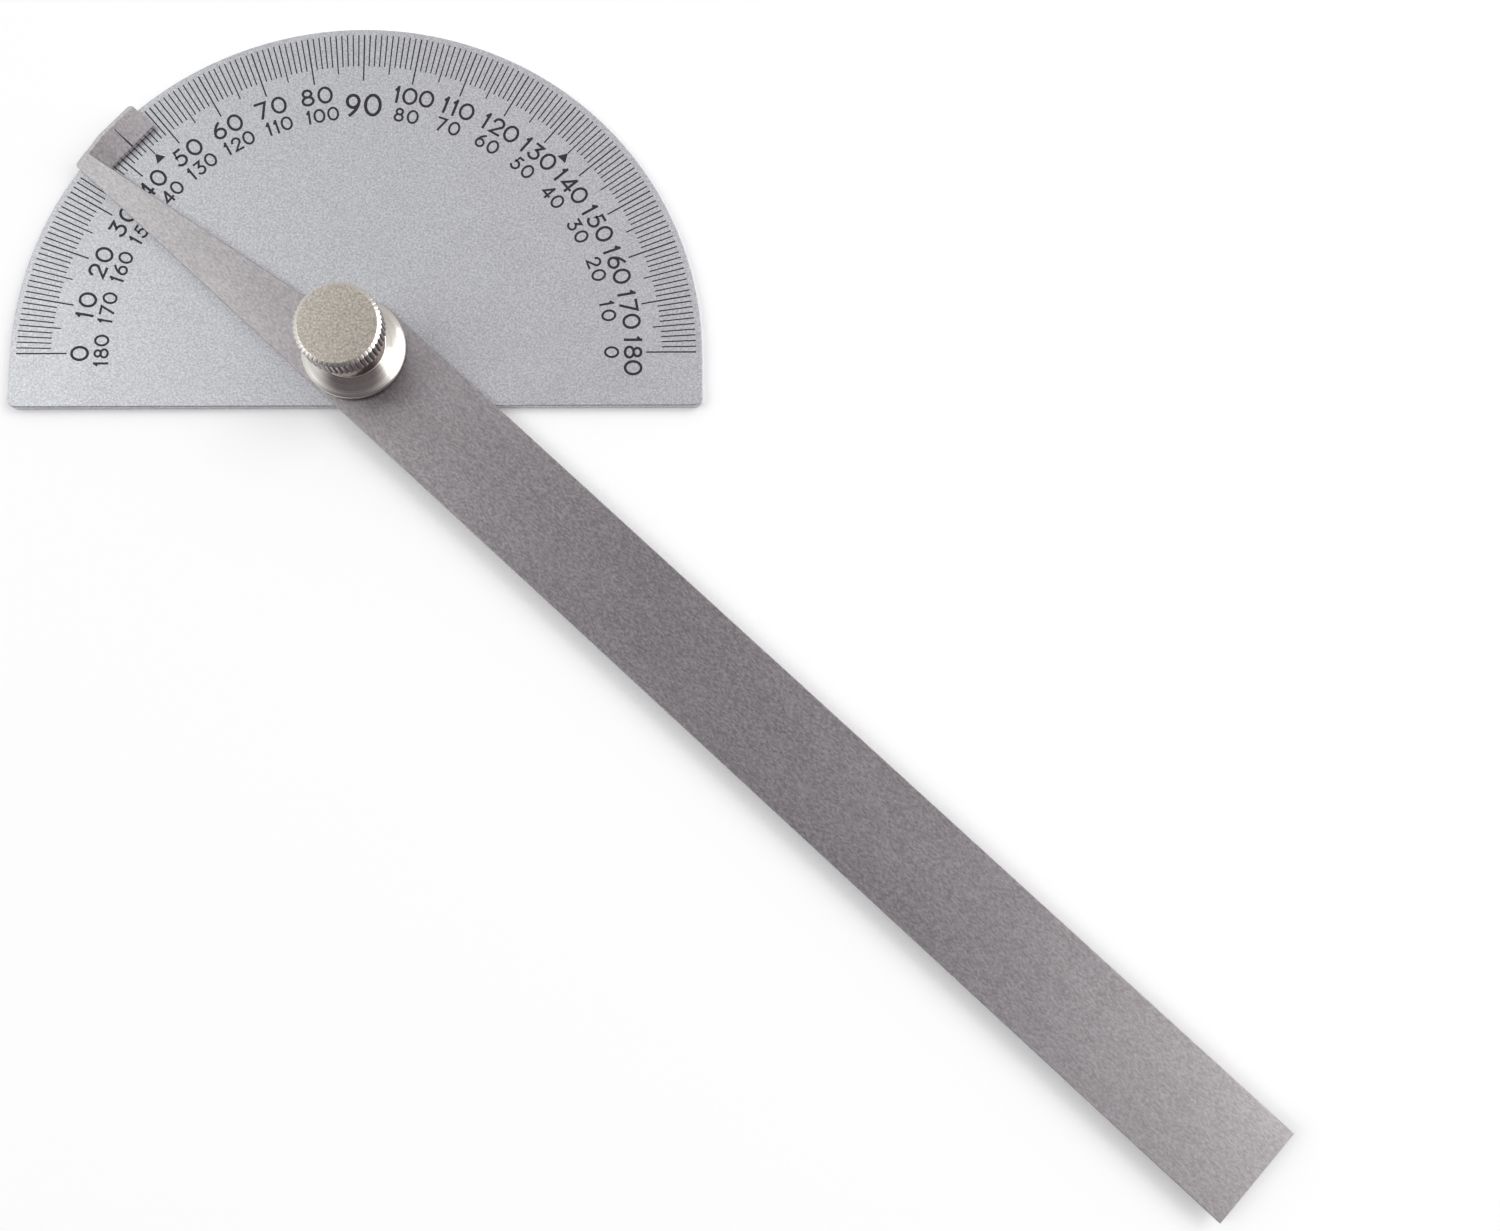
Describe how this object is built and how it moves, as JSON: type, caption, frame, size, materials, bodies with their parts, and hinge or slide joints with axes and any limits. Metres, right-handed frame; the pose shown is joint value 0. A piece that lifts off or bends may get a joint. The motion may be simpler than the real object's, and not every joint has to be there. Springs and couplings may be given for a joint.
{
  "type": "protractor",
  "caption": "Half-round steel protractor with an engraved degree scale, a long swinging arm with a stepped index tab, and a knurled nut that clamps the arm.",
  "frame": {"origin": "on the pivot axis, in the plane of the plate's back face", "axes": "+X towards the 180 degree mark, +Y towards the 90 degree mark, +Z out of the engraved face, on the side of the nut"},
  "size_m": [0.1604, 0.1532, 0.012],
  "materials": {
    "plate_steel": "satin stainless steel with black filled graduations",
    "arm_steel": "stainless strip with a fine grain along its length",
    "nut_plated": "bright nickel plate on turned brass, satin on the flat top",
    "stud_plated": "plated steel, turned",
    "washer_brass": "plain rolled brass",
    "ink_black": "black paint filling the engraved lines and figures"
  },
  "bodies": {
    "scale_plate": {"scale_plate": "plate_steel", "pivot_stud": "stud_plated", "spacer_washer": "washer_brass"},
    "index_arm": {"index_arm": "arm_steel"},
    "clamp_collar": {"clamp_collar": "nut_plated"},
    "thumb_nut": {"thumb_nut": "nut_plated"}
  },
  "joints": [
    {"name": "arm_swing", "type": "hinge", "parent": "scale_plate", "child": "index_arm", "pos_m": [0, 0, 0.002], "axis": [0, 0, -1], "range_deg": [-43, 137]},
    {"name": "collar_lift", "type": "slide", "parent": "scale_plate", "child": "clamp_collar", "axis": [0, 0, 1], "range_m": [0, 0.0016]},
    {"name": "nut_turn", "type": "hinge", "parent": "clamp_collar", "child": "thumb_nut", "pos_m": [0, 0, 0.008], "axis": [0, 0, 1], "range_deg": [0, 720]}
  ],
  "couplings": [
    {"joint": "nut_turn", "follows": "collar_lift", "rad_per_m": 7854}
  ]
}
